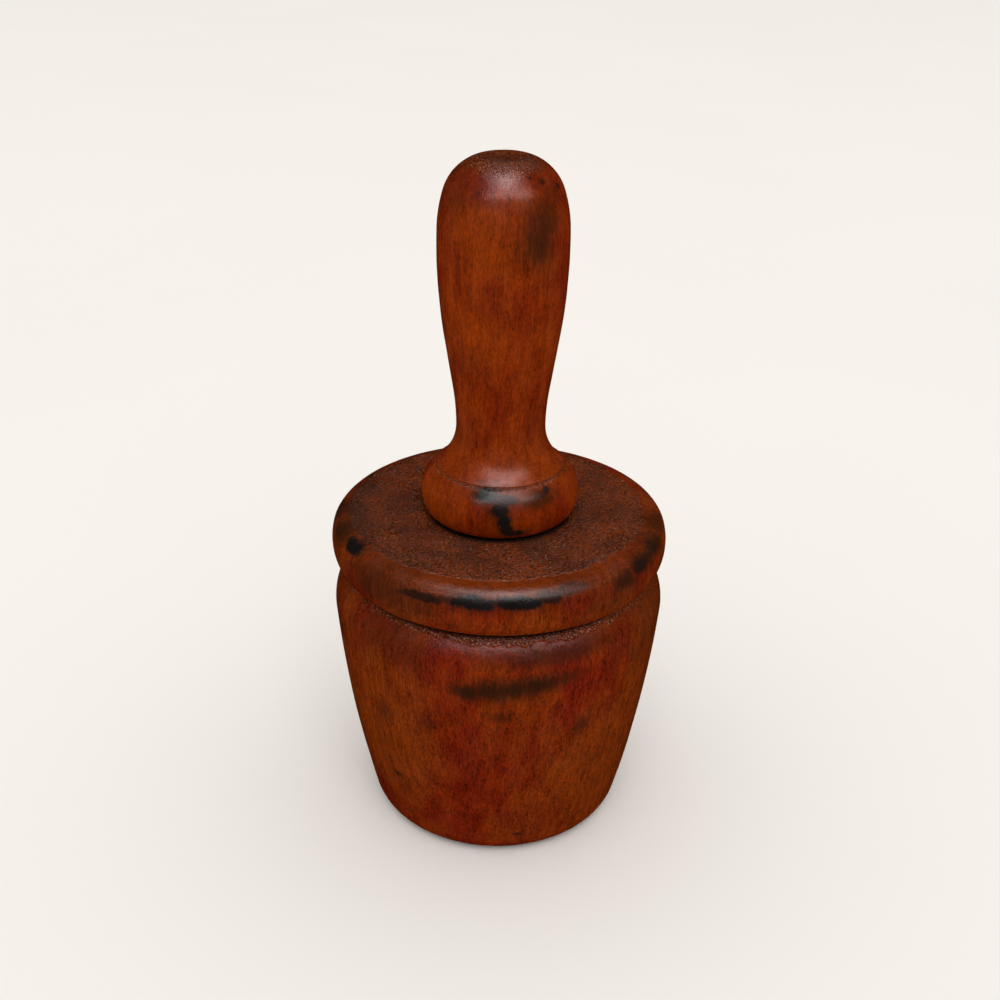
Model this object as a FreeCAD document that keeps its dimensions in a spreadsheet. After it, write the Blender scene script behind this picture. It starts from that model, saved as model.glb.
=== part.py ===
"""Turned wooden muddler: a solid masher head, a hand grip tenoned through it, and a tenon wedge.

Millimetres, +Z up. The origin is the centre of the flat foot that the tool stands on, and Z is
the turning axis of all the wood. Every outline is half of a turned section, in the XZ plane.
"""

import FreeCAD, Part
import math
import os
import Sketcher

doc = FreeCAD.newDocument("muddler")
sheet = doc.addObject("Spreadsheet::Sheet", "sizes")

SIZES = [
    # head: one billet with its grain upright, turned all over
    ("head_height", 99.2),  # foot to top face
    ("head_radius", 50.0),  # widest point, at the crown of the bead
    ("foot_radius", 34.0),  # flat that the tool stands on
    ("foot_round", 6.0),  # rounded edge between the foot and the side
    ("side_bow", 420.0),  # the side swells very slightly
    ("shoulder_radius", 49.8),  # widest point of the body below the groove
    ("shoulder_height", 70.2),
    ("shoulder_round", 15.0),
    ("groove_radius", 41.5),  # bottom of the V groove under the bead
    ("bead_bottom", 84.2),
    ("bead_bow", 13.0),  # crown of the bead
    ("bead_under_edge", 3.2),  # its softened lower edge
    ("bead_top_edge", 5.5),  # its upper edge, well rounded into the top face
    # bore and tenon: a round tenon right through the head, spread by a wedge at the foot
    ("bore_radius", 12.5),
    ("flare_radius", 14.0),  # the bore opens towards the foot so that the wedge locks it
    ("flare_height", 40.0),
    ("glue_line", 0.05),  # gap all round the tenon
    ("end_recess", 0.4),  # the tenon and wedge end just short of the foot
    # collar: a fat round ring that sits on the head
    ("seam", 0.1),  # dark joint under the collar
    ("collar_radius", 23.3),
    ("collar_edge", 4.5),
    ("collar_bow", 10.5),
    ("collar_middle", 6.9),  # above the head's top face, as all the sizes below
    ("line_rise", 15.5),  # fine line cut round the collar where the cove starts
    ("line_depth", 0.45),
    ("line_width", 0.6),
    # grip: neck, swelling hand grip, domed end with a small flat
    ("neck_radius", 13.0),
    ("neck_rise", 27.4),
    ("neck_bow", 75.0),
    ("grip_radius", 18.15),
    ("grip_rise", 79.0),
    ("grip_bow", 165.0),
    ("dome_rise", 84.3),
    ("dome_side", 38.0),
    ("dome_round", 13.5),
    ("end_radius", 6.6),  # flat on the end of the grip
    ("grip_top", 103.6),
    # saw cut in the tenon, and the wedge driven into it
    ("wedge_height", 38.0),
    ("wedge_thick", 4.2),
    ("wedge_tip", 1.3),
    ("kerf_height", 46.0),
]
for row, (alias, value) in enumerate(SIZES, start=1):
    sheet.set(f"A{row}", alias)
    sheet.set(f"B{row}", str(value))
    sheet.setAlias(f"B{row}", alias)
doc.recompute()

START, END, CENTRE = 1, 2, 3
ORIGIN = (-1, 1)


def size(alias):
    """The value of one cell, for placing a sketch's lines near where its constraints hold them."""
    return float(sheet.get(alias))


def vec(r, z):
    return FreeCAD.Vector(r, z, 0)


def new_body(label):
    body = doc.addObject("PartDesign::Body", label)
    body.Label = label
    return body


def new_sketch(body, name, role):
    """An empty sketch on one of the body's own origin planes."""
    sketch = body.newObject("Sketcher::SketchObject", name)
    plane = next(f for f in body.Origin.OriginFeatures if f.Role == role)
    sketch.AttachmentSupport = (plane, [""])
    sketch.MapMode = "FlatFace"
    return sketch


class Chain:
    """A closed chain of lines and arcs in a sketch. Each leg has a first and a last vertex."""

    def __init__(self, sketch, first):
        self.sketch = sketch
        self.here = first
        self.legs = []

    def line(self, to):
        index = self.sketch.addGeometry(Part.LineSegment(vec(*self.here), vec(*to)), False)
        self.legs.append((index, START, END))
        self.here = to
        return len(self.legs) - 1

    def arc(self, via, to):
        """An arc through a point; sketch arcs always run anticlockwise, so it may be stored turned."""
        circle = Part.Circle(vec(*self.here), vec(*via), vec(*to))
        first, last = (
            math.atan2(point[1] - circle.Center.y, point[0] - circle.Center.x)
            for point in (self.here, to)
        )
        clockwise = (vec(*via) - vec(*self.here)).cross(vec(*to) - vec(*via)).z < 0
        if clockwise:
            first, last = last, first
        upright = Part.Circle(circle.Center, FreeCAD.Vector(0, 0, 1), circle.Radius)
        index = self.sketch.addGeometry(Part.ArcOfCircle(upright, first, last), False)
        self.legs.append((index, END, START) if clockwise else (index, START, END))
        self.here = to
        return len(self.legs) - 1

    def close(self, smooth):
        """Joins each leg to the next; those numbered in smooth run into the next one tangent."""
        for number, (index, _, last) in enumerate(self.legs):
            after, first, _ = self.legs[(number + 1) % len(self.legs)]
            kind = "Tangent" if number in smooth else "Coincident"
            self.sketch.addConstraint(Sketcher.Constraint(kind, index, last, after, first))

    def rule(self, kind, leg):
        self.sketch.addConstraint(Sketcher.Constraint(kind, self.legs[leg][0]))

    def bind(self, name, formula, drawn, *rule):
        """Adds a dimension at the value drawn, then binds it to the sheet."""
        number = self.sketch.addConstraint(Sketcher.Constraint(*rule, drawn))
        self.sketch.renameConstraint(number, name)
        self.sketch.setExpression(f"Constraints.{name}", formula)

    def radius(self, leg, formula):
        index = self.legs[leg][0]
        drawn = self.sketch.Geometry[index].Radius
        self.bind(f"round_{leg}", formula, drawn, "Radius", index)

    def across(self, leg, vertex, formula):
        """Distance out from the axis to a leg's vertex."""
        index = self.legs[leg][0]
        drawn = self.sketch.getPoint(index, vertex).x
        self.bind(f"out_{leg}_{vertex}", formula, drawn, "DistanceX", *ORIGIN, index, vertex)

    def up(self, leg, vertex, formula):
        """Height above the foot of a leg's vertex."""
        index = self.legs[leg][0]
        drawn = self.sketch.getPoint(index, vertex).y
        self.bind(f"up_{leg}_{vertex}", formula, drawn, "DistanceY", *ORIGIN, index, vertex)

    def last(self, leg):
        return self.legs[leg][2]


def revolve(body, sketch, kind, name):
    """Turns a sketch about the body's upright axis, adding wood or cutting it away."""
    feature = body.newObject(kind, name)
    feature.Profile = sketch
    feature.ReferenceAxis = (sketch, ["V_Axis"])
    feature.Angle = 360.0
    return feature


# ---- head: masher billet with bead, V groove, rounded shoulder and tapered side ----
# Each chain is drawn near its place, and its dimensions then hold it to the sizes.
foot_radius, foot_round = size("foot_radius"), size("foot_round")
shoulder_radius, shoulder_height = size("shoulder_radius"), size("shoulder_height")
shoulder_round, groove_radius = size("shoulder_round"), size("groove_radius")
head_radius, head_height = size("head_radius"), size("head_height")
bead_bottom, bead_middle = size("bead_bottom"), (size("bead_bottom") + head_height) / 2
under_round, top_round = size("bead_under_edge"), size("bead_top_edge")
under_flat, top_flat = head_radius - 1.25 * under_round, head_radius - 1.15 * top_round

head = new_body("head")
section = new_sketch(head, "head_section", "XZ_Plane")
turned = Chain(section, (0, 0))
foot = turned.line((foot_radius, 0))
foot_edge = turned.arc(
    (foot_radius + 0.75 * foot_round, 0.35 * foot_round),
    (foot_radius + 0.97 * foot_round, 0.75 * foot_round),
)
side = turned.arc((45.7, shoulder_height / 2), (shoulder_radius, shoulder_height))
shoulder = turned.arc(
    (shoulder_radius - 0.25 * shoulder_round, shoulder_height + 0.7 * shoulder_round),
    (groove_radius, shoulder_height + shoulder_round),
)
groove = turned.line((under_flat, bead_bottom))
under_edge = turned.arc(
    (under_flat + 0.7 * under_round, bead_bottom + 0.3 * under_round),
    (under_flat + 0.95 * under_round, bead_bottom + 0.7 * under_round),
)
crown = turned.arc(
    (head_radius, bead_middle), (top_flat + 0.95 * top_round, head_height - 0.7 * top_round)
)
top_edge = turned.arc(
    (top_flat + 0.7 * top_round, head_height - 0.3 * top_round), (top_flat, head_height)
)
top_face = turned.line((0, head_height))
axis = turned.line((0, 0))
turned.close(smooth={foot, foot_edge, side, under_edge, crown, top_edge})
turned.rule("Horizontal", foot)
turned.rule("Horizontal", top_face)
turned.rule("Vertical", axis)
section.addConstraint(Sketcher.Constraint("Coincident", turned.legs[foot][0], START, *ORIGIN))
section.addConstraint(
    Sketcher.Constraint("Vertical", *turned.legs[under_edge][:2], turned.legs[under_edge][0], CENTRE)
)
turned.across(foot, END, "sizes.foot_radius")
turned.radius(foot_edge, "sizes.foot_round")
turned.radius(side, "sizes.side_bow")
turned.across(side, turned.last(side), "sizes.shoulder_radius")
turned.up(side, turned.last(side), "sizes.shoulder_height")
turned.radius(shoulder, "sizes.shoulder_round")
turned.across(shoulder, turned.last(shoulder), "sizes.groove_radius")
turned.up(groove, END, "sizes.bead_bottom")
turned.radius(under_edge, "sizes.bead_under_edge")
turned.radius(crown, "sizes.bead_bow")
turned.across(crown, CENTRE, "sizes.head_radius - sizes.bead_bow")
turned.up(crown, CENTRE, "(sizes.bead_bottom + sizes.head_height) / 2")
turned.radius(top_edge, "sizes.bead_top_edge")
turned.up(top_face, END, "sizes.head_height")
revolve(head, section, "PartDesign::Revolution", "head_turning")

bore_radius, flare_radius, flare_height = size("bore_radius"), size("flare_radius"), size("flare_height")
hole = new_sketch(head, "bore_section", "XZ_Plane")
bored = Chain(hole, (0, 0))
mouth = bored.line((flare_radius, 0))
flare = bored.line((bore_radius, flare_height))
wall = bored.line((bore_radius, head_height))
end = bored.line((0, head_height))
middle = bored.line((0, 0))
bored.close(smooth=set())
bored.rule("Horizontal", mouth)
bored.rule("Vertical", wall)
bored.rule("Horizontal", end)
bored.rule("Vertical", middle)
hole.addConstraint(Sketcher.Constraint("Coincident", bored.legs[mouth][0], START, *ORIGIN))
bored.across(mouth, END, "sizes.flare_radius")
bored.across(flare, END, "sizes.bore_radius")
bored.up(flare, END, "sizes.flare_height")
bored.up(wall, END, "sizes.head_height")
doc.recompute()
billet_volume = head.Shape.Volume
revolve(head, hole, "PartDesign::Groove", "bore")
doc.recompute()
if head.Shape.Volume > billet_volume - 1000:
    raise RuntimeError("the bore cut nothing from the head")


# ---- handle: tenon, collar, cove, neck and grip turned from one piece ----
glue_line, end_recess, seam = size("glue_line"), size("end_recess"), size("seam")
collar_radius, collar_edge, collar_bow = size("collar_radius"), size("collar_edge"), size("collar_bow")
neck_radius, grip_radius, end_radius = size("neck_radius"), size("grip_radius"), size("end_radius")
collar_middle = head_height + size("collar_middle")
line_height = head_height + size("line_rise")
neck_height = head_height + size("neck_rise")
grip_height = head_height + size("grip_rise")
dome_height = head_height + size("dome_rise")
grip_top = head_height + size("grip_top")

handle = new_body("handle")
section = new_sketch(handle, "handle_section", "XZ_Plane")
turned = Chain(section, (0, end_recess))
tenon_end = turned.line((flare_radius - glue_line, end_recess))
tenon_flare = turned.line((bore_radius - glue_line, flare_height))
tenon = turned.line((bore_radius - glue_line, head_height + seam))
collar_foot = turned.line((collar_radius - collar_edge - 0.4, head_height + seam))
collar_corner = turned.arc(
    (collar_radius - 1.1, head_height + 1.1), (collar_radius - 0.4, head_height + 2.4)
)
collar_side = turned.arc((collar_radius, collar_middle), (19.2, line_height))
cove = turned.arc((14.6, neck_height - 6.5), (neck_radius, neck_height))
neck = turned.arc((neck_radius + 0.2, neck_height + 5), (neck_radius + 0.7, neck_height + 10))
lean = turned.line((neck_radius + 3.6, neck_height + 30))
swell = turned.arc((grip_radius - 0.4, grip_height - 10), (grip_radius - 0.1, dome_height))
dome_side = turned.arc((grip_radius - 0.5, dome_height + 5), (grip_radius - 1.3, dome_height + 9))
dome = turned.arc((13.0, grip_top - 4.6), (end_radius, grip_top))
grip_end = turned.line((0, grip_top))
axis = turned.line((0, end_recess))
turned.close(smooth={collar_foot, collar_corner, cove, neck, lean, swell, dome_side})
turned.rule("Horizontal", tenon_end)
turned.rule("Vertical", tenon)
turned.rule("Horizontal", collar_foot)
turned.rule("Horizontal", grip_end)
turned.rule("Vertical", axis)
section.addConstraint(Sketcher.Constraint("PointOnObject", turned.legs[tenon_end][0], START, -2))
section.addConstraint(
    Sketcher.Constraint("Horizontal", turned.legs[neck][0], CENTRE, *turned.legs[neck][:2])
)
turned.across(tenon_end, END, "sizes.flare_radius - sizes.glue_line")
turned.up(tenon_end, END, "sizes.end_recess")
turned.across(tenon_flare, END, "sizes.bore_radius - sizes.glue_line")
turned.up(tenon_flare, END, "sizes.flare_height")
turned.up(tenon, END, "sizes.head_height + sizes.seam")
turned.radius(collar_corner, "sizes.collar_edge")
turned.radius(collar_side, "sizes.collar_bow")
turned.across(collar_side, CENTRE, "sizes.collar_radius - sizes.collar_bow")
turned.up(collar_side, CENTRE, "sizes.head_height + sizes.collar_middle")
turned.up(collar_side, turned.last(collar_side), "sizes.head_height + sizes.line_rise")
turned.across(cove, turned.last(cove), "sizes.neck_radius")
turned.up(cove, turned.last(cove), "sizes.head_height + sizes.neck_rise")
turned.radius(neck, "sizes.neck_bow")
turned.radius(swell, "sizes.grip_bow")
turned.across(swell, CENTRE, "sizes.grip_radius - sizes.grip_bow")
turned.up(swell, CENTRE, "sizes.head_height + sizes.grip_rise")
turned.up(swell, turned.last(swell), "sizes.head_height + sizes.dome_rise")
turned.radius(dome_side, "sizes.dome_side")
turned.radius(dome, "sizes.dome_round")
turned.across(dome, turned.last(dome), "sizes.end_radius")
turned.up(dome, turned.last(dome), "sizes.head_height + sizes.grip_top")
revolve(handle, section, "PartDesign::Revolution", "handle_turning")
doc.recompute()

# fine V line cut where the collar meets the cove
line_depth, line_width = size("line_depth"), size("line_width")
line_radius = "sizes.collar_radius - sizes.collar_bow"
line_radius += " + sqrt(sizes.collar_bow ^ 2 - (sizes.line_rise - sizes.collar_middle) ^ 2)"
cut_sketch = new_sketch(handle, "line_section", "XZ_Plane")
cut = Chain(cut_sketch, (18.7, line_height))
lower = cut.line((19.6, line_height - line_width / 2))
outer = cut.line((19.6, line_height + line_width / 2))
upper = cut.line((18.7, line_height))
cut.close(smooth=set())
cut.rule("Vertical", outer)
cut.across(upper, END, line_radius + " - sizes.line_depth")
cut.up(upper, END, "sizes.head_height + sizes.line_rise")
cut.across(lower, END, line_radius + " + sizes.line_depth")
cut.up(lower, END, "sizes.head_height + sizes.line_rise - sizes.line_width")
cut.up(outer, END, "sizes.head_height + sizes.line_rise + sizes.line_width")
plain_volume = handle.Shape.Volume
revolve(handle, cut_sketch, "PartDesign::Groove", "collar_line")
doc.recompute()
if handle.Shape.Volume >= plain_volume:
    raise RuntimeError("the collar line cut nothing from the handle")

# saw cut up the tenon: as wide as the wedge at the foot, and a plain kerf above its tip
wedge_height, kerf_height = size("wedge_height"), size("kerf_height")
half_foot = size("wedge_thick") / 2 + glue_line
half_tip = size("wedge_tip") / 2 + glue_line
kerf_sketch = new_sketch(handle, "kerf_section", "YZ_Plane")
kerf = Chain(kerf_sketch, (-half_foot, end_recess))
kerf_mouth = kerf.line((half_foot, end_recess))
near_taper = kerf.line((half_tip, wedge_height))
near_side = kerf.line((half_tip, kerf_height))
kerf_end = kerf.line((-half_tip, kerf_height))
far_side = kerf.line((-half_tip, wedge_height))
far_taper = kerf.line((-half_foot, end_recess))
kerf.close(smooth=set())
kerf.rule("Horizontal", kerf_mouth)
kerf.rule("Horizontal", kerf_end)
kerf.rule("Vertical", near_side)
kerf.rule("Vertical", far_side)
kerf.across(kerf_mouth, START, "-sizes.wedge_thick / 2 - sizes.glue_line")
kerf.across(kerf_mouth, END, "sizes.wedge_thick / 2 + sizes.glue_line")
kerf.up(kerf_mouth, END, "sizes.end_recess")
kerf.across(near_taper, END, "sizes.wedge_tip / 2 + sizes.glue_line")
kerf.up(near_taper, END, "sizes.wedge_height")
kerf.across(far_side, END, "-sizes.wedge_tip / 2 - sizes.glue_line")
kerf.up(far_side, END, "sizes.wedge_height")
kerf.up(kerf_end, END, "sizes.kerf_height")
plain_volume = handle.Shape.Volume
slot = handle.newObject("PartDesign::Pocket", "wedge_slot")
slot.Profile = kerf_sketch
slot.Type = "ThroughAll"
slot.Midplane = True
doc.recompute()
if handle.Shape.Volume > plain_volume - 1000:
    raise RuntimeError("the slot cut nothing from the tenon")


# ---- tenon wedge: a hardwood slip, trimmed round with the end of the tenon ----
slip = doc.addObject("Part::Wedge", "slip")
slip.setExpression("Ymin", "0 * sizes.wedge_height")
slip.setExpression("Ymax", "sizes.wedge_height - sizes.end_recess")
for side_name, sign in (("min", "-"), ("max", "")):
    slip.setExpression(f"X{side_name}", f"{sign}sizes.flare_radius")
    slip.setExpression(f"X2{side_name}", f"{sign}sizes.flare_radius")
    slip.setExpression(f"Z{side_name}", f"{sign}sizes.wedge_thick / 2")
    slip.setExpression(f"Z2{side_name}", f"{sign}sizes.wedge_tip / 2")
upright = FreeCAD.Rotation(FreeCAD.Vector(1, 0, 0), 90)
slip.Placement = FreeCAD.Placement(FreeCAD.Vector(0, 0, 0), upright)
slip.setExpression("Placement.Base.z", "sizes.end_recess")

envelope = doc.addObject("Part::Cone", "tenon_envelope")
envelope.setExpression("Radius1", "sizes.flare_radius - sizes.glue_line")
envelope.setExpression("Radius2", "sizes.bore_radius - sizes.glue_line")
envelope.setExpression("Height", "sizes.flare_height")

wedge = doc.addObject("Part::Common", "tenon_wedge")
wedge.Label = "tenon_wedge"
wedge.Base = slip
wedge.Tool = envelope
doc.recompute()


# ---- check every object, then write one file for each piece ----
for item in doc.Objects:
    if "Invalid" in item.State or "Error" in item.State:
        raise RuntimeError(f"{item.Label} did not recompute: {item.State}")

os.makedirs("parts", exist_ok=True)
for piece in (head, handle, wedge):
    shape = piece.Shape
    if shape.isNull() or not shape.isValid() or len(shape.Solids) != 1:
        raise RuntimeError(f"{piece.Label} is not one valid solid")
    box = shape.optimalBoundingBox()
    print(f"{piece.Label}: {box.XLength:.1f} x {box.YLength:.1f} x {box.ZLength:.1f} mm,", end=" ")
    print(f"z {box.ZMin:.2f} to {box.ZMax:.2f}, {shape.Volume / 1000:.1f} cm3")
    shape.exportStep(f"parts/{piece.Label}.step")
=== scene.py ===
"""A turned wooden muddler, standing on a pale floor. The looks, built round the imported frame."""

from math import acos, atan2, ceil, cos, hypot, pi, radians, sin, sqrt

import bpy
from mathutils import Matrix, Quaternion, Vector


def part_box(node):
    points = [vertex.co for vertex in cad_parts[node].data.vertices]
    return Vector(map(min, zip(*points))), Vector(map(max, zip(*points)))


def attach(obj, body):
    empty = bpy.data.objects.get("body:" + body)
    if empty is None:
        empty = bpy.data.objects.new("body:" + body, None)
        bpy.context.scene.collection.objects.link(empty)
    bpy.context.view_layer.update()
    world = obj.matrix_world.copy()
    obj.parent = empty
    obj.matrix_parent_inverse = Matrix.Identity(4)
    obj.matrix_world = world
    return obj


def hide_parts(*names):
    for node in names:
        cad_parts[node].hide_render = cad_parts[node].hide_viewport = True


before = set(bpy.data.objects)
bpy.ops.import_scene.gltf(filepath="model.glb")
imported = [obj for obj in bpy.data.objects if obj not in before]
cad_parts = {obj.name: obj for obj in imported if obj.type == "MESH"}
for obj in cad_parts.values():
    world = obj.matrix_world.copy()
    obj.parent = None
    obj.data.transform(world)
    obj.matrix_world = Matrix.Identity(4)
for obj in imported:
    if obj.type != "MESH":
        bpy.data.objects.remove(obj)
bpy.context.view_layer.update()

# ---------------------------------------------------------------------------------------------
# The head: one billet of beech with its grain upright, stained red-brown and turned all over to a
# tapered block with a half-round bead over a V groove. It is bored right through for the tenon.
# Its top face and the shoulder under the groove are end grain, left rough by the tool.

MM = 0.001
head_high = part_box("head")[1]
head_height = head_high.z / MM
bead_radius = head_high.x / MM
foot_radius, foot_round = 34.0, 6.0
side_bow, shoulder_radius, shoulder_height, shoulder_round = 420.0, 49.8, 70.2, 15.0
groove_radius, bead_bottom, bead_bow, bead_under_edge, bead_top_edge = 41.5, 84.2, 13.0, 3.2, 5.5
bore_radius, bore_mouth, flare_height = 12.5, 14.0, 40.0
head_steps = 320


def straight(start, end, spacing):
    """Points along a straight stretch of an outline, about one spacing apart."""
    count = max(1, ceil(hypot(end[0] - start[0], end[1] - start[1]) / spacing))
    shares = [i / count for i in range(count + 1)]
    return [(start[0] + (end[0] - start[0]) * t, start[1] + (end[1] - start[1]) * t) for t in shares]


def rounded(centre, radius, start, end, spacing):
    """Points along a round stretch of an outline, between the headings of two points from its centre."""
    first = atan2(start[1] - centre[1], start[0] - centre[0])
    last = atan2(end[1] - centre[1], end[0] - centre[0])
    if last - first > pi:
        last -= 2 * pi
    elif first - last > pi:
        last += 2 * pi
    count = max(2, ceil(abs(last - first) * radius / spacing))
    turns = [first + (last - first) * i / count for i in range(count + 1)]
    return [(centre[0] + radius * cos(a), centre[1] + radius * sin(a)) for a in turns]


def meeting(first, first_radius, second, second_radius, side):
    """Where two circles in the outline's plane cross, on the left (+1) or right (-1) of first to second."""
    apart = hypot(second[0] - first[0], second[1] - first[1])
    along = (apart**2 + first_radius**2 - second_radius**2) / (2 * apart)
    off = sqrt(first_radius**2 - along**2) * side
    ux, uy = (second[0] - first[0]) / apart, (second[1] - first[1]) / apart
    return first[0] + ux * along - uy * off, first[1] + uy * along + ux * off


def towards(start, end, distance):
    """The point at that distance from start on the line to end."""
    share = distance / hypot(end[0] - start[0], end[1] - start[1])
    return start[0] + (end[0] - start[0]) * share, start[1] + (end[1] - start[1]) * share


def turned(name, outline, steps):
    """A piece turned on the lathe: its outline, points of radius and height, spun round the axis."""
    bpy.ops.object.select_all(action="DESELECT")
    bpy.ops.mesh.primitive_plane_add(size=MM)
    piece = bpy.context.object
    piece.name = piece.data.name = name
    bpy.ops.object.mode_set(mode="EDIT")
    bpy.ops.mesh.select_all(action="SELECT")
    bpy.ops.mesh.merge(type="CENTER")
    bpy.ops.transform.translate(value=(outline[0][0] * MM, 0, outline[0][1] * MM))
    for (radius, height), (next_radius, next_height) in zip(outline, outline[1:]):
        move = ((next_radius - radius) * MM, 0, (next_height - height) * MM)
        bpy.ops.mesh.extrude_region_move(TRANSFORM_OT_translate={"value": move})
    bpy.ops.mesh.select_all(action="SELECT")
    bpy.ops.mesh.remove_doubles(threshold=0.01 * MM)
    bpy.ops.mesh.spin(steps=steps, angle=2 * pi, center=(0, 0, 0), axis=(0, 0, 1))
    bpy.ops.mesh.select_all(action="SELECT")
    bpy.ops.mesh.remove_doubles(threshold=0.01 * MM)
    bpy.ops.mesh.normals_make_consistent(inside=False)
    bpy.ops.object.mode_set(mode="OBJECT")
    bpy.ops.object.shade_smooth_by_angle(angle=radians(50))
    return piece


def worn_down(piece, name, weight, texture_kind, grain_size, depth, **settings):
    """Lowers the surface by up to depth, in lumps of grain_size, where weight(radius, height) isn't 0."""
    group = piece.vertex_groups.new(name=name)
    for vertex in piece.data.vertices:
        share = weight(hypot(vertex.co.x, vertex.co.y) / MM, vertex.co.z / MM)
        if share > 0:
            group.add([vertex.index], min(share, 1), "REPLACE")
    texture = bpy.data.textures.new(name, texture_kind)
    texture.noise_scale = grain_size * MM
    for setting, value in settings.items():
        setattr(texture, setting, value)
    wear = piece.modifiers.new(name, "DISPLACE")
    wear.texture = texture
    wear.texture_coords = "LOCAL"
    wear.vertex_group = group.name
    wear.mid_level = 1.0
    wear.strength = depth * MM
    bpy.context.view_layer.objects.active = piece
    bpy.ops.object.modifier_apply(modifier=name)


foot_centre = (foot_radius, foot_round)
shoulder = (shoulder_radius, shoulder_height)
side_centre = meeting(foot_centre, side_bow - foot_round, shoulder, side_bow, 1)
shoulder_centre = towards(shoulder, side_centre, shoulder_round)
foot_tangent = towards(side_centre, foot_centre, side_bow)
groove_height = shoulder_centre[1] + sqrt(shoulder_round**2 - (groove_radius - shoulder_centre[0])**2)
groove = (groove_radius, groove_height)
bead_middle = (bead_bottom + head_height) / 2
bow_centre = (bead_radius - bead_bow, bead_middle)
under_drop = bead_middle - bead_bottom - bead_under_edge
under_reach = sqrt((bead_bow - bead_under_edge)**2 - under_drop**2)
under_edge = (bow_centre[0] + under_reach, bead_middle - under_drop)
top_rise = head_height - bead_top_edge - bead_middle
top_reach = sqrt((bead_bow - bead_top_edge)**2 - top_rise**2)
top_edge = (bow_centre[0] + top_reach, bead_middle + top_rise)
under_tangent = towards(bow_centre, under_edge, bead_bow)
top_tangent = towards(bow_centre, top_edge, bead_bow)

head_outline = (
    straight((bore_mouth, 0), (foot_radius, 0), 1.6)
    + rounded(foot_centre, foot_round, (foot_radius, 0), foot_tangent, 0.7)
    + rounded(side_centre, side_bow, foot_tangent, shoulder, 0.9)
    + rounded(shoulder_centre, shoulder_round, shoulder, groove, 0.6)
    + straight(groove, (under_edge[0], bead_bottom), 0.6)
    + rounded(under_edge, bead_under_edge, (under_edge[0], bead_bottom), under_tangent, 0.5)
    + rounded(bow_centre, bead_bow, under_tangent, top_tangent, 0.6)
    + rounded(top_edge, bead_top_edge, top_tangent, (top_edge[0], head_height), 0.5)
    + straight((top_edge[0], head_height), (bore_radius, head_height), 0.65)
    + straight((bore_radius, head_height), (bore_radius, flare_height), 30)
    + straight((bore_radius, flare_height), (bore_mouth, 0), 20)
)
head = turned("turned_head", head_outline, head_steps)


def slope(value, low, high):
    """0 up to low, 1 from high, and straight between them."""
    return min(max((value - low) / (high - low), 0), 1)


def outside(radius, height):
    """The head's outside, clear of the bore's edges."""
    return slope(radius, bore_mouth + 1, bore_mouth + 3)


def top_face(radius, height):
    """The sawn and skimmed end grain, to just over the bead's arris."""
    return outside(radius, height) * slope(height, head_height - 1.2, head_height - 0.2)


def under_groove(radius, height):
    """The end grain that shows where the shoulder turns in to the groove."""
    below_bead = slope(-height, -bead_bottom - 0.3, -bead_bottom)
    return slope(height, shoulder_height + 6, shoulder_height + 11) * below_bead


worn_down(head, "hand_wear", outside, "CLOUDS", 24, 0.28)
worn_down(head, "torn_end_grain", top_face, "CLOUDS", 1.3, 0.34, noise_depth=2)
worn_down(head, "torn_shoulder", under_groove, "CLOUDS", 1.1, 0.3, noise_depth=2)


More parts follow.
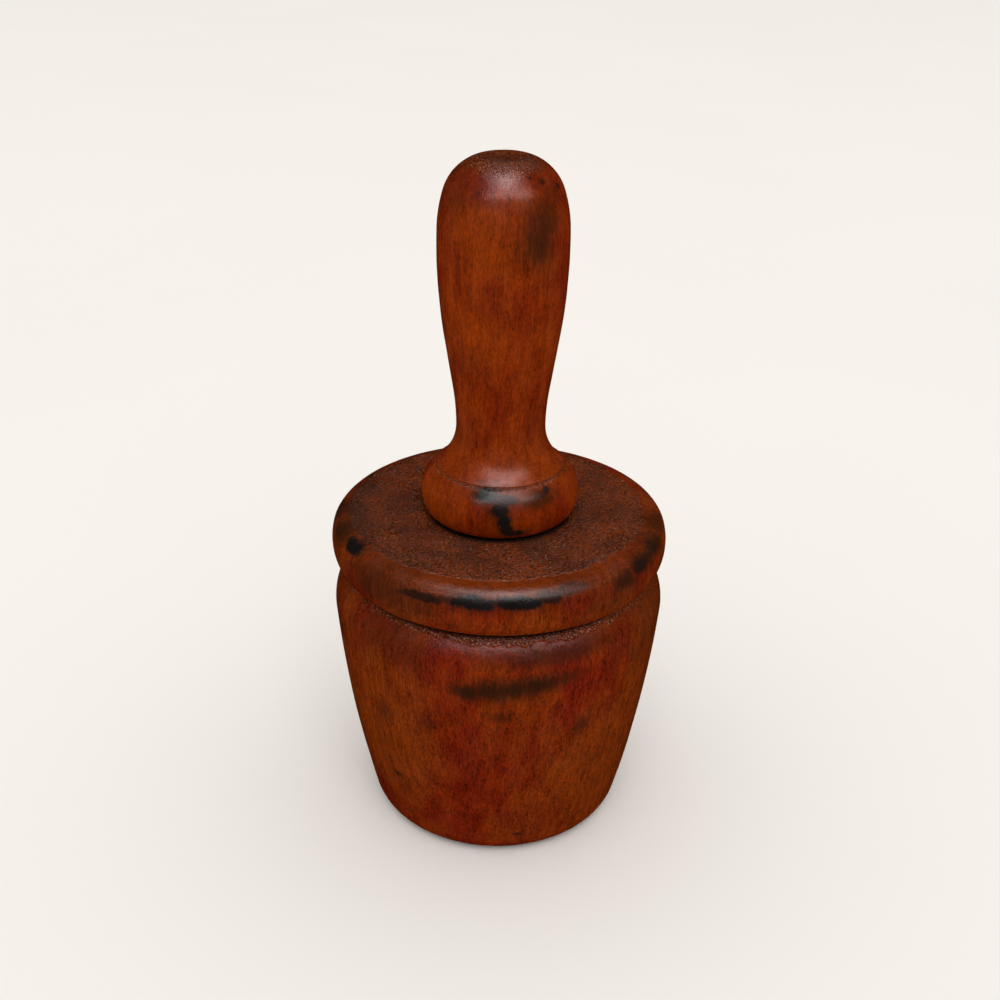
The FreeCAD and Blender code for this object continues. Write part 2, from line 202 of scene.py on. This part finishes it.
class Finish:
    """A finish in the making: its nodes, and the sums that the look of turned wood needs.
    Lengths are in millimetres along the piece's own axes."""

    def __init__(self, name):
        self.material = bpy.data.materials.new(name)
        self.material.use_nodes = True
        self.tree = self.material.node_tree
        self.tree.nodes.clear()
        place = self.node("TexCoord")
        self.facing = place.outputs["Normal"]
        in_metres = place.outputs["Object"]
        self.place = self.node("Mapping", {"Vector": in_metres, "Scale": (1 / MM,) * 3}).outputs[0]
        split = self.node("SeparateXYZ", {0: self.place})
        self.height = split.outputs[2]
        across = self.node("CombineXYZ", {0: split.outputs[0], 1: split.outputs[1]}).outputs[0]
        self.radius = self.node("VectorMath", {0: across}, operation="LENGTH").outputs["Value"]

    def node(self, kind, inputs=(), **settings):
        """A new node, with its sockets linked or set, and its settings."""
        made = self.tree.nodes.new("ShaderNode" + kind)
        for setting, value in settings.items():
            setattr(made, setting, value)
        for socket, value in dict(inputs).items():
            if isinstance(value, bpy.types.NodeSocket):
                self.tree.links.new(value, made.inputs[socket])
            else:
                made.inputs[socket].default_value = value
        return made

    def sum(self, operation, *values):
        """One step of arithmetic on numbers and sockets."""
        return self.node("Math", enumerate(values), operation=operation).outputs[0]

    def between(self, value, low, high, start=0.0, end=1.0):
        """start where value is low, end where it is high, and a smooth change between them."""
        inputs = {0: value, 1: low, 2: high, 3: start, 4: end}
        return self.node("MapRange", inputs, interpolation_type="SMOOTHSTEP").outputs[0]

    def tinted(self, under, over, amount):
        """The colour under, covered by the colour over."""
        return self.node("Mix", {0: amount, 6: under, 7: over}, data_type="RGBA").outputs[2]

    def shaded(self, colour, shade):
        """The colour darkened, or lightened, by a plain factor."""
        plain = colour[:3] if isinstance(colour, tuple) else colour
        return self.node("VectorMath", {0: plain, 3: shade}, operation="SCALE").outputs[0]

    def scaled_place(self, size, turn=(0, 0, 0), shift=(0, 0, 0)):
        """The place on the piece, counted in steps of that size along X, Y and Z."""
        scale = tuple(1 / s for s in size)
        inputs = {"Vector": self.place, "Location": shift, "Rotation": turn, "Scale": scale}
        return self.node("Mapping", inputs).outputs[0]

    def cloud(self, size, detail=2.0, roughness=0.5):
        """Smooth noise from about 0.25 to 0.75, in lumps of that size along X, Y and Z."""
        inputs = {"Vector": self.scaled_place(size), "Scale": 1.0, "Detail": detail, "Roughness": roughness}
        return self.node("TexNoise", inputs).outputs[0]

    def uneven(self, size, detail, amount):
        """Noise about 0, for the ragged edges of stains."""
        return self.sum("MULTIPLY", self.sum("SUBTRACT", self.cloud(size, detail, 0.65), 0.5), amount)

    def specks(self, size, share):
        """Small spots, up to 1 at their middles: share is how much of its cell each one fills."""
        inputs = {"Vector": self.scaled_place(size), "Scale": 1.0}
        distance = self.node("TexVoronoi", inputs).outputs["Distance"]
        return self.between(distance, share, share * 0.4)

    def near_ring(self, radius, height, reach):
        """1 along a ring round the axis, falling to 0 at reach from it."""
        out = self.sum("SUBTRACT", self.radius, radius)
        up = self.sum("SUBTRACT", self.height, height)
        squares = self.sum("ADD", self.sum("MULTIPLY", out, out), self.sum("MULTIPLY", up, up))
        return self.between(self.sum("SQRT", squares), reach, reach * 0.45)

    def stained(self, marks, ragged, rim, core):
        """The marks put together, each full inside its core and gone at its rim, as parts of its size.
        A mark is (degrees round, radius, height, half-width, half-height, strength)."""
        total = 0.0
        for degrees, radius, height, half_width, half_height, strength in marks:
            middle = (radius * cos(radians(degrees)), radius * sin(radians(degrees)), height)
            half = (half_width, half_width, half_height)
            shift = tuple(-m / h for m, h in zip(middle, half))
            away = self.node("VectorMath", {0: self.scaled_place(half, shift=shift)}, operation="LENGTH")
            edge = self.sum("ADD", away.outputs["Value"], ragged)
            mark = self.between(edge, rim, core, 0.0, strength)
            total = self.sum("MAXIMUM", total, mark)
        return total


def long_grain(wood, red, orange, patches, fibrous, pith, figure):
    """The colour and the relief of side grain: blotches where the stain took unevenly, growth rings
    round a pith that is off the axis, streaks and specks along the grain, and dark ray flecks.
    figure is how strongly they show, and patches are the redder and the more orange places."""
    ring_spacing = 3.4
    blotch = wood.cloud((26, 26, 40), 3.0, 0.5)
    patch = wood.cloud((6, 6, 10), 3.0, 0.5)
    streak = wood.cloud((0.7, 0.7, 9), 4.0, 0.65)
    stipple = wood.cloud((0.5, 0.5, 1.3), 3.0, 0.7)
    redder, more_orange = (wood.stained(some, fibrous, 1.9, -0.2) for some in patches)
    warmth = wood.between(blotch, 0.3, 0.7, 0.1, 0.9)
    warmth = wood.sum("ADD", warmth, wood.between(patch, 0.3, 0.7, -0.16, 0.16))
    warmth = wood.sum("SUBTRACT", wood.sum("ADD", warmth, more_orange), redder)
    colour = wood.tinted(red, orange, wood.between(warmth, -0.1, 1.1))

    tilted = wood.scaled_place((1, 1, 1), turn=(radians(4.5), radians(-5.0), 0), shift=pith)
    split = wood.node("SeparateXYZ", {0: tilted})
    flat = wood.node("CombineXYZ", {0: split.outputs[0], 1: split.outputs[1]}).outputs[0]
    from_pith = wood.node("VectorMath", {0: flat}, operation="LENGTH").outputs["Value"]
    warp = wood.sum("MULTIPLY", wood.cloud((14, 14, 46), 2.0), 10.0)
    phase = wood.sum("MULTIPLY", wood.sum("ADD", from_pith, warp), 2 * pi / ring_spacing)
    ring = wood.between(wood.sum("SINE", phase), -0.3, 1.0)

    fleck = wood.sum("MULTIPLY", wood.specks((1.1, 1.1, 2.6), 0.28), wood.between(patch, 0.62, 0.40))
    streaks = wood.between(streak, 0.3, 0.7, -0.24, 0.22)
    shade = wood.sum("ADD", streaks, wood.between(stipple, 0.3, 0.7, -0.34, 0.30))
    shade = wood.sum("SUBTRACT", shade, wood.sum("MULTIPLY", ring, 0.13))
    shade = wood.sum("SUBTRACT", shade, wood.sum("MULTIPLY", fleck, 0.36))
    shade = wood.sum("ADD", wood.sum("MULTIPLY", shade, figure), wood.between(patch, 0.3, 0.7, 0.89, 1.11))
    relief = wood.sum("ADD", wood.sum("MULTIPLY", streak, 0.5), wood.sum("MULTIPLY", stipple, 0.5))
    relief = wood.sum("SUBTRACT", relief, wood.sum("MULTIPLY", fleck, 0.30))
    return wood.shaded(colour, shade), relief


def end_grain_places(wood, end_share, torn_disc, torn_ring):
    """How much end grain shows: on faces that lie across the grain, and where the piece has them, only
    inside a disc round torn_disc (x, y, radius), and in a ring between the two heights of torn_ring."""
    facing = wood.node("SeparateXYZ", {0: wood.facing})
    level = wood.between(wood.sum("ABSOLUTE", facing.outputs[2]), 0.66, 0.97)
    on_faces = wood.sum("MULTIPLY", level, end_share)
    if torn_disc is None:
        return on_faces, 0.0
    middle_x, middle_y, disc_radius = torn_disc
    low, high = torn_ring
    centred = wood.scaled_place((1, 1, 1e6), shift=(-middle_x, -middle_y, 0))
    away = wood.node("VectorMath", {0: centred}, operation="LENGTH").outputs["Value"]
    wander = wood.between(wood.cloud((5, 5, 5), 3.0), 0.3, 0.7, -0.5, 0.5)
    in_disc = wood.between(wood.sum("ADD", away, wander), disc_radius + 0.9, disc_radius - 0.7)
    above = wood.between(wood.sum("ADD", wood.height, wander), low, low + 0.7)
    in_ring = wood.sum("MULTIPLY", above, wood.between(wood.height, high + 1, high))
    return wood.sum("MULTIPLY", on_faces, in_disc), in_ring


def turned_wood(name, red, orange, dark, end_tone, pith, patches, smudges, marks, shaded_corners, figure,
                gloss, end_share, torn_disc=None, torn_ring=None):
    """Stained and polished beech: long grain, end grain that drank more of the stain, painted glints and
    painted sparkle where that is torn, brown smudges, near-black marks, and painted shade in the corners."""
    # The two pale colours are painted glints and painted sparkle on the torn end grain.
    painted_glint_colour, painted_sparkle_colour = (0.46, 0.26, 0.14, 1), (0.50, 0.29, 0.20, 1)
    # The first is the smudges' own brown; the second is near-black painted shade for the corners.
    brown, painted_shade = (0.022, 0.0075, 0.0022, 1), (0.006, 0.002, 0.0015, 1)
    wood = Finish(name)
    fibrous = wood.uneven((1.3, 1.3, 7.0), 4.0, 1.5)
    lumpy = wood.uneven((2.8, 2.8, 4.0), 5.0, 1.9)
    colour, relief = long_grain(wood, red, orange, patches, fibrous, pith, figure)
    on_faces, in_ring = end_grain_places(wood, end_share, torn_disc, torn_ring)
    end_grain = wood.sum("MAXIMUM", on_faces, wood.sum("MULTIPLY", in_ring, 0.55))
    roughened = wood.sum("MAXIMUM", on_faces, wood.sum("MULTIPLY", in_ring, 0.45))

    torn = wood.cloud((0.75, 0.75, 0.9), 3.0, 0.7)
    pore = wood.specks((0.8, 0.8, 1.2), 0.40)
    soaked = wood.between(wood.cloud((11, 11, 30), 3.0, 0.6), 0.35, 0.65, 0.72, 1.3)
    end_shade = wood.sum("MULTIPLY", wood.between(torn, 0.34, 0.66, 0.10, 1.95), soaked)
    end_shade = wood.sum("MULTIPLY", end_shade, wood.sum("SUBTRACT", 1.0, wood.sum("MULTIPLY", pore, 0.35)))
    colour = wood.tinted(colour, wood.shaded(end_tone, end_shade), end_grain)
    end_relief = wood.sum("SUBTRACT", torn, wood.sum("MULTIPLY", pore, 0.4))
    if torn_disc:
        # Painted glints: pale specks in clusters on the torn end grain, standing in for light caught by its
        # fibres. They also raise the bump.
        clustered = wood.between(wood.cloud((9, 9, 9), 2.0), 0.46, 0.62)
        glint = wood.sum("MULTIPLY", wood.specks((1.2, 1.2, 1.2), 0.27), clustered)
        glint = wood.sum("MULTIPLY", glint, end_grain)
        colour = wood.tinted(colour, painted_glint_colour, wood.sum("MULTIPLY", glint, 0.8))
        end_relief = wood.sum("ADD", end_relief, wood.sum("MULTIPLY", glint, 0.5))
        # Painted sparkle: pale specks in the ring under the groove, standing in for the highlight on its
        # torn fibres.
        sparkle = wood.between(wood.cloud((0.55, 0.55, 0.45), 2.0, 0.6), 0.54, 0.66)
        sparkle = wood.sum("MULTIPLY", sparkle, in_ring)
        colour = wood.tinted(colour, painted_sparkle_colour, wood.sum("MULTIPLY", sparkle, 0.45))

    halos = [(turn, out, up, wide * 1.35 + 0.8, tall * 1.35 + 0.6, strength * 0.8)
             for turn, out, up, wide, tall, strength in marks]
    smudge = wood.stained(smudges + halos, fibrous, 1.5, 0.2)
    colour = wood.tinted(colour, brown, wood.sum("MULTIPLY", smudge, 0.92))
    colour = wood.tinted(colour, dark, wood.stained(marks, lumpy, 1.25, 0.75))
    # Painted shade: dark rings round the axis in the corners and recesses, where shade falls. They also
    # make the surface rougher there.
    corner_shade = 0.0
    for radius, height, reach, strength in shaded_corners:
        band = wood.sum("MULTIPLY", wood.near_ring(radius, height, reach), strength)
        corner_shade = wood.sum("MAXIMUM", corner_shade, band)
    colour = wood.tinted(colour, painted_shade, corner_shade)

    roughness = wood.between(wood.cloud((7, 7, 11), 4.0, 0.65), 0.3, 0.7, gloss - 0.06, gloss + 0.10)
    roughness = wood.sum("SUBTRACT", roughness, wood.sum("MULTIPLY", in_ring, 0.14))
    roughness = wood.sum("ADD", roughness, wood.sum("MULTIPLY", corner_shade, 0.3))
    grain_bump = wood.node("Bump", {
        "Strength": 0.55 * figure, "Distance": 0.25 * figure * MM, "Height": relief})
    end_bump = wood.node("Bump", {
        "Strength": 1.0, "Distance": 0.8 * MM, "Height": wood.sum("MULTIPLY", end_relief, roughened),
        "Normal": grain_bump.outputs[0]})
    shader = wood.node("BsdfPrincipled", {
        "Base Color": colour, "Roughness": roughness, "Normal": end_bump.outputs[0],
        "Specular IOR Level": 0.04})
    wood.node("OutputMaterial", {0: shader.outputs[0]})
    return wood.material


head_marks = [
    (-98, 49.4, 95.8, 6.0, 1.9, 1.0),
    (-83, 49.4, 95.9, 6.5, 1.7, 1.0),
    (-74, 49.4, 96.6, 5.0, 1.5, 0.8),
    (-66, 48.4, 97.6, 6.0, 1.2, 0.5),
    (-115, 49.6, 95.2, 6.0, 1.2, 0.8),
    (-106, 49.6, 95.9, 3.0, 0.8, 0.6),
    (-150, 47.6, 98.0, 4.6, 1.3, 1.0),
    (-128, 44.0, 50.0, 0.6, 1.6, 0.5),
    (-80, 40.7, 8.5, 1.2, 0.5, 0.6),
    (-132, 44.1, 24.9, 1.5, 0.6, 0.6),
    (-36, 48.9, 96.6, 4.5, 1.6, 0.55),
    (-26, 48.6, 97.4, 4.0, 1.4, 0.45),
]
head_smudges = [
    (-99, 49.8, 67.0, 6.0, 3.4, 1.0),
    (-92, 49.8, 67.8, 8.0, 4.2, 1.0),
    (-84, 49.8, 68.4, 8.0, 4.0, 1.0),
    (-76, 49.8, 69.2, 8.0, 3.6, 1.0),
    (-68, 49.8, 70.0, 6.0, 2.8, 0.7),
    (-88, 48.8, 58.4, 3.4, 1.9, 0.6),
    (-133, 47.8, 50.0, 3.0, 5.0, 0.5),
    (-114, 48.0, 51.8, 2.6, 3.4, 0.35),
    (-59, 47.9, 51.0, 3.4, 3.2, 0.6),
    (-45, 49.4, 95.4, 6.0, 3.4, 1.0),
    (-34, 49.0, 96.6, 7.0, 2.8, 1.0),
    (-22, 48.4, 97.4, 8.0, 2.6, 1.0),
    (-8, 47.6, 98.2, 8.0, 2.4, 0.8),
    (-164, 47.8, 97.6, 9.0, 3.0, 1.0),
    (-180, 47.6, 97.8, 10.0, 3.0, 0.9),
    (160, 47.6, 98.2, 12.0, 3.0, 0.6),
    (-70, 48.5, 77.5, 20.0, 3.2, 0.7),
    (-131, 49.5, 93.5, 19.0, 7.0, 0.75),
    (-178, 50.0, 72.0, 24.0, 14.0, 0.35),
    (-20, 50.0, 74.0, 22.0, 12.0, 0.35),
    (-130, 49.5, 76.5, 17.0, 8.0, 0.45),
    (-50, 49.5, 92.0, 15.0, 6.0, 0.35),
]
head_redder = [
    (-94, 49.5, 64, 30, 20, 0.25),
    (-92, 43, 26, 24, 20, 0.15),
    (-140, 50, 90, 18, 5, 0.3),
]
head_more_orange = [
    (-48, 45, 32, 18, 26, 0.6),
    (-138, 46, 40, 20, 32, 0.6),
    (-85, 50, 88, 36, 5, 0.6),
    (-20, 47, 60, 24, 30, 0.6),
    (-85, 44.5, 98.8, 34, 3, 1.0),
    (-30, 44.0, 98.8, 16, 3, 0.7),
]
head.data.materials.append(turned_wood(
    "red_beech", red=(0.149, 0.0084, 0.0004, 1), orange=(0.171, 0.0245, 0.0007, 1),
    dark=(0.007, 0.005, 0.0045, 1), end_tone=(0.116, 0.0190, 0.0012, 1), pith=(24, 70, 0),
    patches=(head_redder, head_more_orange), smudges=head_smudges, marks=head_marks,
    # Painted shade: dark rings in the groove under the bead and round the collar's seat on the top face.
    shaded_corners=[(groove_radius + 1.2, bead_bottom - 0.1, 4.1, 1.0), (19.0, head_height, 3.0, 0.95)],
    figure=1.0, gloss=0.30, end_share=1.0, torn_disc=(-0.8, 1.7, 43.6), torn_ring=(80.4, 84.6)))
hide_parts("head")
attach(head, "root")

# ---------------------------------------------------------------------------------------------
# The handle: one stick of beech, stained more orange than the head and polished by the hand, with
# its collar, fine line, cove, neck, grip and domed end turned on it. The collar sits on the head,
# and the tenon under it, sawn up the middle for its wedge, is glued in the bore.

handle_low, handle_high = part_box("handle")
tenon_end, handle_top = handle_low.z / MM, handle_high.z / MM
glue_line, seam = 0.05, 0.1
collar_radius, collar_edge, collar_bow, collar_middle = handle_high.x / MM, 4.5, 10.5, head_height + 6.9
line_height, line_depth, line_width = head_height + 15.5, 0.45, 0.6
neck_radius, neck_height, neck_bow = 13.0, head_height + 27.4, 75.0
grip_radius, grip_height, grip_bow = 18.15, head_height + 79.0, 165.0
dome_height, dome_side, dome_round, end_radius = head_height + 84.3, 38.0, 13.5, 6.6
kerf_height, kerf_thick, past_end = 46.0, 1.4, 2.0
handle_steps = 240

collar_centre = (collar_radius - collar_bow, collar_middle)
collar_foot = head_height + seam
collar_edge_height = collar_foot + collar_edge
collar_edge_drop = collar_middle - collar_edge_height
collar_edge_radius = collar_centre[0] + sqrt((collar_bow - collar_edge)**2 - collar_edge_drop**2)
collar_edge_centre = (collar_edge_radius, collar_edge_height)
collar_tangent = towards(collar_centre, collar_edge_centre, collar_bow)
line_radius = collar_centre[0] + sqrt(collar_bow**2 - (line_height - collar_middle)**2)
line_low_height, line_high_height = line_height - line_width / 2, line_height + line_width / 2
line_low = (collar_centre[0] + sqrt(collar_bow**2 - (line_low_height - collar_middle)**2), line_low_height)
cove_rise, cove_reach = neck_height - line_height, line_radius - neck_radius
cove_bow = (cove_rise**2 + cove_reach**2) / (2 * cove_reach)
cove_centre = (neck_radius + cove_bow, neck_height)
line_high = (cove_centre[0] - sqrt(cove_bow**2 - (line_high_height - neck_height)**2), line_high_height)
neck_centre = (neck_radius + neck_bow, neck_height)
grip_centre = (grip_radius - grip_bow, grip_height)
apart = hypot(grip_centre[0] - neck_centre[0], grip_centre[1] - neck_centre[1])
heading = atan2(grip_centre[1] - neck_centre[1], grip_centre[0] - neck_centre[0])
lean = heading + acos((neck_bow + grip_bow) / apart)
neck_end = (neck_centre[0] + neck_bow * cos(lean), neck_centre[1] + neck_bow * sin(lean))
grip_start = (grip_centre[0] - grip_bow * cos(lean), grip_centre[1] - grip_bow * sin(lean))
grip_end = (grip_centre[0] + sqrt(grip_bow**2 - (dome_height - grip_height)**2), dome_height)
dome_side_centre = towards(grip_end, grip_centre, dome_side)
dome_centre = meeting(dome_side_centre, dome_side - dome_round, (end_radius, handle_top), dome_round, -1)
dome_tangent = towards(dome_side_centre, dome_centre, dome_side)

handle_outline = (
    straight((0, tenon_end), (bore_mouth - glue_line, tenon_end), 2.5)
    + straight((bore_mouth - glue_line, tenon_end), (bore_radius - glue_line, flare_height), 20)
    + straight((bore_radius - glue_line, flare_height), (bore_radius - glue_line, collar_foot), 30)
    + straight((bore_radius - glue_line, collar_foot), (collar_edge_radius, collar_foot), 2)
    + rounded(collar_edge_centre, collar_edge, (collar_edge_radius, collar_foot), collar_tangent, 0.55)
    + rounded(collar_centre, collar_bow, collar_tangent, line_low, 0.55)
    + [(line_radius - line_depth, line_height)]
    + rounded(cove_centre, cove_bow, line_high, (neck_radius, neck_height), 0.65)
    + rounded(neck_centre, neck_bow, (neck_radius, neck_height), neck_end, 0.8)
    + straight(neck_end, grip_start, 0.9)
    + rounded(grip_centre, grip_bow, grip_start, grip_end, 0.9)
    + rounded(dome_side_centre, dome_side, grip_end, dome_tangent, 0.8)
    + rounded(dome_centre, dome_round, dome_tangent, (end_radius, handle_top), 0.6)
    + straight((end_radius, handle_top), (0, handle_top), 0.6)
)
handle = turned("turned_handle", handle_outline, handle_steps)


def flat_slip(name, length, low, high, thick):
    """A flat slip standing on edge across the axis, as thick at its foot as at its top."""
    bpy.ops.object.select_all(action="DESELECT")
    bpy.ops.mesh.primitive_cube_add(size=1, location=(0, 0, (low + high) / 2 * MM))
    slip = bpy.context.object
    slip.name = slip.data.name = name
    bpy.ops.transform.resize(value=(length * MM, thick * MM, (high - low) * MM))
    bpy.ops.object.transform_apply(location=True, rotation=True, scale=True)
    return slip


def cut(piece, tool, operation):
    """Cuts or trims the piece with the tool, which is then thrown away."""
    bpy.context.view_layer.objects.active = piece
    sawing = piece.modifiers.new("sawing", "BOOLEAN")
    sawing.operation, sawing.object, sawing.solver = operation, tool, "EXACT"
    bpy.ops.object.modifier_apply(modifier=sawing.name)
    bpy.data.objects.remove(tool)


kerf_length = 2 * (bore_mouth + past_end)
saw_cut = flat_slip("saw_cut", kerf_length, tenon_end - past_end, kerf_height, kerf_thick)
cut(handle, saw_cut, "DIFFERENCE")


def above_collar_foot(radius, height):
    """All of the handle that is held, from just over the collar's seat."""
    return slope(height, collar_foot + 0.6, collar_foot + 3)


worn_down(handle, "hand_polish", above_collar_foot, "CLOUDS", 17, 0.22)
handle_marks = [
    (-100, 21.2, 113.4, 3.8, 2.0, 1.0),
    (-88, 21.8, 112.4, 4.6, 1.5, 0.85),
    (-90, 22.6, 109.6, 2.4, 2.2, 0.95),
    (-87, 23.1, 106.8, 1.8, 2.0, 1.0),
    (-85, 22.9, 104.0, 1.8, 1.8, 0.95),
    (-80, 22.6, 102.4, 3.0, 1.0, 0.9),
    (-56, 21.3, 112.6, 2.4, 1.0, 0.55),
    (-51, 20.9, 113.4, 1.5, 1.3, 0.80),
    (-46, 13.9, 198.3, 0.9, 0.8, 0.6),
    (-24, 15.2, 196.5, 0.8, 0.8, 0.6),
    (-60, 12.5, 199.2, 0.5, 0.5, 0.6),
]
handle_smudges = [
    (-52, 17.8, 189.0, 6.5, 6.5, 0.8),
    (-59, 18.1, 182.5, 6.0, 6.5, 0.85),
    (-40, 16.5, 194.5, 5.0, 3.5, 0.5),
    (-62, 22.3, 111.6, 7.5, 2.8, 0.85),
    (-95, 9.0, 203.0, 16.0, 5.0, 0.5),
    (-160, 15.5, 196.0, 14.0, 9.0, 0.4),
]
handle_redder = [
    (-100, 13, 200, 14, 7, 0.8),
    (-92, 13, 136, 9, 16, 0.3),
    (-45, 22, 106, 8, 5, 0.4),
]
handle_more_orange = [
    (-105, 16, 160, 12, 16, 0.4),
    (-95, 18, 182, 9, 10, 0.4),
    (-90, 19, 120, 24, 8, 0.9),
    (-45, 17, 165, 10, 16, 0.4),
    (-140, 22, 107, 14, 7, 0.7),
    (-90, 23, 104, 12, 4, 0.6),
    (-50, 14, 196, 8, 6, 0.4),
]
handle.data.materials.append(turned_wood(
    "orange_beech", red=(0.161, 0.0108, 0.0004, 1), orange=(0.204, 0.0262, 0.0007, 1),
    dark=(0.008, 0.006, 0.0055, 1), end_tone=(0.170, 0.0350, 0.0040, 1), pith=(-30, 22, 0),
    patches=(handle_redder, handle_more_orange), smudges=handle_smudges, marks=handle_marks,
    # Painted shade: dark rings in the fine line, under the collar's foot and round the edge of the flat
    # end.
    shaded_corners=[(line_radius, line_height, 0.5, 0.4), (collar_edge_radius, collar_foot, 2.6, 0.95),
                   (end_radius + 0.4, handle_top, 0.6, 0.35)],
    figure=0.8, gloss=0.26, end_share=0.6))
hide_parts("handle")
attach(handle, "root")

# ---------------------------------------------------------------------------------------------
# The wedge: a slip of unstained hardwood, driven up into the saw cut from the working face and
# trimmed flush with the tenon. A real one thickens to about 4 mm at its foot and spreads the cut,
# but here both keep the thickness of its tip.

wedge_height, wedge_tip = 38.0, 1.3
wedge = flat_slip("wedge_slip", 2 * bore_mouth, tenon_end, wedge_height, wedge_tip)
bpy.ops.object.select_all(action="DESELECT")
wedge_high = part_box("tenon_wedge")[1]
bpy.ops.mesh.primitive_cone_add(
    vertices=192, radius1=wedge_high.x, radius2=(bore_radius - glue_line) * MM,
    depth=(flare_height - tenon_end) * MM, location=(0, 0, (flare_height + tenon_end) / 2 * MM))
cone = bpy.context.object
bpy.ops.object.transform_apply(location=True, rotation=True, scale=True)
cut(wedge, cone, "INTERSECT")
bpy.ops.object.select_all(action="DESELECT")
wedge.select_set(True)
bpy.context.view_layer.objects.active = wedge
easing = wedge.modifiers.new("easing", "BEVEL")
easing.width, easing.segments = 0.12 * MM, 2
bpy.ops.object.modifier_apply(modifier="easing")

slip_dark, slip_pale = (0.20, 0.085, 0.030, 1), (0.36, 0.18, 0.075, 1)
pore_brown = (0.07, 0.03, 0.012, 1)
slip_wood = Finish("plain_slip")
slip_grain = slip_wood.cloud((0.5, 0.5, 14), 4.0, 0.6)
slip_pores = slip_wood.specks((0.5, 0.5, 1.2), 0.4)
slip_paler = slip_wood.between(slip_grain, 0.3, 0.7)
slip_colour = slip_wood.tinted(slip_dark, slip_pale, slip_paler)
slip_speckle = slip_wood.sum("MULTIPLY", slip_pores, 0.6)
slip_colour = slip_wood.tinted(slip_colour, pore_brown, slip_speckle)
slip_rough = slip_wood.between(slip_grain, 0.3, 0.7, 0.6, 0.8)
slip_bump = slip_wood.node("Bump", {"Strength": 0.5, "Distance": 0.1 * MM, "Height": slip_grain})
slip_shader = slip_wood.node("BsdfPrincipled", {
    "Base Color": slip_colour, "Roughness": slip_rough, "Normal": slip_bump.outputs[0],
    "Specular IOR Level": 0.2})
slip_wood.node("OutputMaterial", {0: slip_shader.outputs[0]})
wedge.data.materials.append(slip_wood.material)
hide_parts("tenon_wedge")
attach(wedge, "root")

# ---------------------------------------------------------------------------------------------
# The floor: a wide, plain, pale sheet. It isn't mirrored in the polish.

bpy.ops.object.select_all(action="DESELECT")
bpy.ops.mesh.primitive_plane_add(size=14)
floor = bpy.context.object
floor.name = "floor"
paper = Finish("pale_paper")
paper_tone = paper.between(paper.cloud((300, 300, 300), 3.0, 0.5), 0.3, 0.7)
paper_colour = paper.tinted((0.875, 0.845, 0.805, 1), (0.885, 0.855, 0.815, 1), paper_tone)
paper_shader = paper.node("BsdfPrincipled", {
    "Base Color": paper_colour, "Roughness": 0.9, "Specular IOR Level": 0.0})
paper.node("OutputMaterial", {0: paper_shader.outputs[0]})
floor.data.materials.append(paper.material)
floor.visible_glossy = False

# ---------------------------------------------------------------------------------------------
# The light: pale air all round and one soft box high in front, neither of them mirrored in the
# polish, and two bright panels that are seen only as its shine.

air = bpy.data.worlds.new("pale_air")
bpy.context.scene.world = air
air.use_nodes = True
air.node_tree.nodes["Background"].inputs["Color"].default_value = (1.0, 0.99, 0.975, 1)
air.node_tree.nodes["Background"].inputs["Strength"].default_value = 0.945
air.cycles_visibility.glossy = False


def soft_box(name, turn, rise, distance, width, height, power):
    """A soft box at so many degrees round from the front and up, facing the middle of the muddler."""
    aim = Vector((0, 0, 0.1))
    out = cos(radians(rise))
    way = Vector((sin(radians(turn)) * out, -cos(radians(turn)) * out, sin(radians(rise))))
    bpy.ops.object.light_add(type="AREA", location=aim + way * distance)
    light = bpy.context.object
    light.name = name
    light.rotation_euler = way.to_track_quat("Z", "Y").to_euler()
    light.data.shape = "RECTANGLE"
    light.data.size, light.data.size_y = width, height
    light.data.energy = power
    return light


key = soft_box("far_key", turn=8, rise=55, distance=5.0, width=2.8, height=2.2, power=45.0)
key.visible_glossy = False
shine = soft_box("high_shine", turn=6, rise=76, distance=0.95, width=0.5, height=0.62, power=58.0)
band = soft_box("wide_shine", turn=10, rise=48, distance=1.0, width=1.4, height=0.30, power=48.0)
for panel in (shine, band):
    panel.visible_diffuse = False

# ---------------------------------------------------------------------------------------------
# The camera: above and in front, looking down at the middle of the muddler.

eye = Vector((0, -0.32918, 0.27066))
aim = Vector((0.00012, 0, 0.1016))
roll = radians(0.8637)
bpy.ops.object.camera_add(location=eye)
camera = bpy.context.object
camera.rotation_mode = "QUATERNION"
camera.rotation_quaternion = (aim - eye).to_track_quat("-Z", "Y") @ Quaternion((0, 0, 1), roll)
camera.data.lens = 44.77
camera.data.clip_end = 50
bpy.context.scene.camera = camera
bpy.context.scene.view_settings.view_transform = "Standard"
